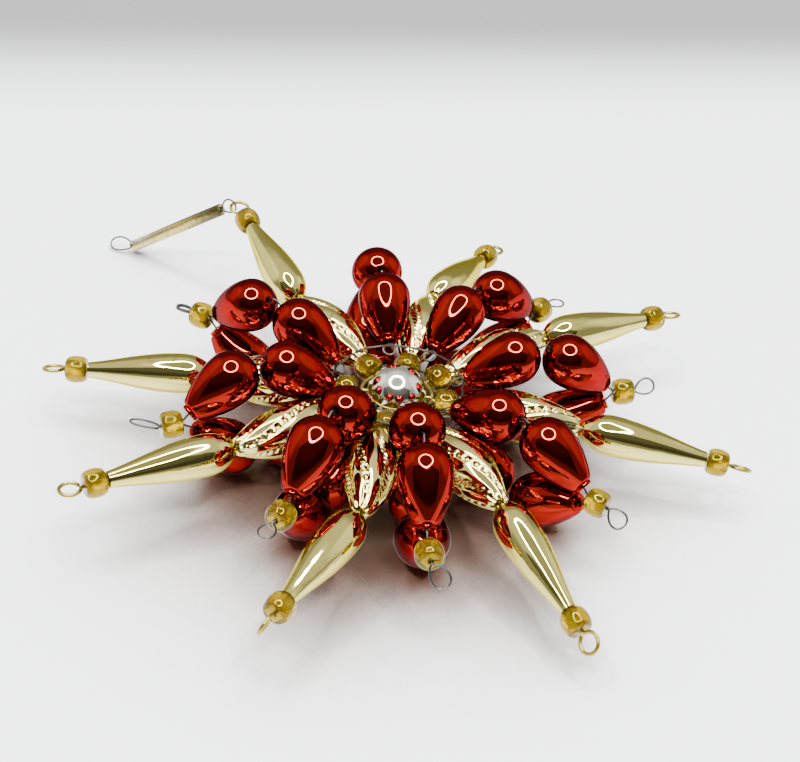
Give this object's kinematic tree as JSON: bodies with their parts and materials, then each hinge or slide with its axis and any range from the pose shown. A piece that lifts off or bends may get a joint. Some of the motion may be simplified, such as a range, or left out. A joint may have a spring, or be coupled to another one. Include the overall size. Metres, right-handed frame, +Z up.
{
  "type": "beaded star ornament",
  "caption": "Star of gold and red silvered glass beads threaded on thin wire round a silver ball, with a short bead link to hang it by, lying flat.",
  "frame": {"origin": "middle of the bounding box on the surface the star lies on", "axes": "+Z up, square to the star's middle plane; +Y away from the picture's camera; +X to the right in the picture"},
  "size_m": [0.1342, 0.129, 0.0273],
  "materials": {
    "gold_glass": "silvered inside, so nothing shows through",
    "red_glass": "red lacquer over silvered glass",
    "silver_glass": "silvered inside",
    "amber_glass": "clear amber with a bright liner",
    "brass": "dull drawn wire",
    "steel": "grey drawn wire"
  },
  "bodies": {
    "root": {"gold_drop_1": "gold_glass", "gold_drop_2": "gold_glass", "gold_drop_3": "gold_glass", "gold_drop_4": "gold_glass", "gold_drop_5": "gold_glass", "gold_drop_6": "gold_glass", "gold_drop_7": "gold_glass", "gold_drop_8": "gold_glass", "hanger": "gold_glass", "lower_inner_drop_1": "red_glass", "lower_inner_drop_2": "red_glass", "lower_inner_drop_3": "red_glass", "lower_inner_drop_4": "red_glass", "lower_inner_drop_5": "red_glass", "lower_inner_drop_6": "red_glass", "lower_inner_drop_7": "red_glass", "lower_inner_drop_8": "red_glass", "lower_outer_drop_1": "red_glass", "lower_outer_drop_2": "red_glass", "lower_outer_drop_3": "red_glass", "lower_outer_drop_4": "red_glass", "lower_outer_drop_5": "red_glass", "lower_outer_drop_6": "red_glass", "lower_outer_drop_7": "red_glass", "lower_outer_drop_8": "red_glass", "patterned_oval_1": "gold_glass", "patterned_oval_2": "gold_glass", "patterned_oval_3": "gold_glass", "patterned_oval_4": "gold_glass", "patterned_oval_5": "gold_glass", "patterned_oval_6": "gold_glass", "patterned_oval_7": "gold_glass", "patterned_oval_8": "gold_glass", "petal_wires": "steel", "silver_ball": "silver_glass", "star_wire": "brass", "tip_seed_bead_1": "amber_glass", "tip_seed_bead_2": "amber_glass", "tip_seed_bead_3": "amber_glass", "tip_seed_bead_4": "amber_glass", "tip_seed_bead_5": "amber_glass", "tip_seed_bead_6": "amber_glass", "tip_seed_bead_7": "amber_glass", "tip_seed_bead_8": "amber_glass", "upper_inner_drop_1": "red_glass", "upper_inner_drop_2": "red_glass", "upper_inner_drop_3": "red_glass", "upper_inner_drop_4": "red_glass", "upper_inner_drop_5": "red_glass", "upper_inner_drop_6": "red_glass", "upper_inner_drop_7": "red_glass", "upper_inner_drop_8": "red_glass", "upper_outer_drop_1": "red_glass", "upper_outer_drop_2": "red_glass", "upper_outer_drop_3": "red_glass", "upper_outer_drop_4": "red_glass", "upper_outer_drop_5": "red_glass", "upper_outer_drop_6": "red_glass", "upper_outer_drop_7": "red_glass", "upper_outer_drop_8": "red_glass"}
  },
  "joints": []
}
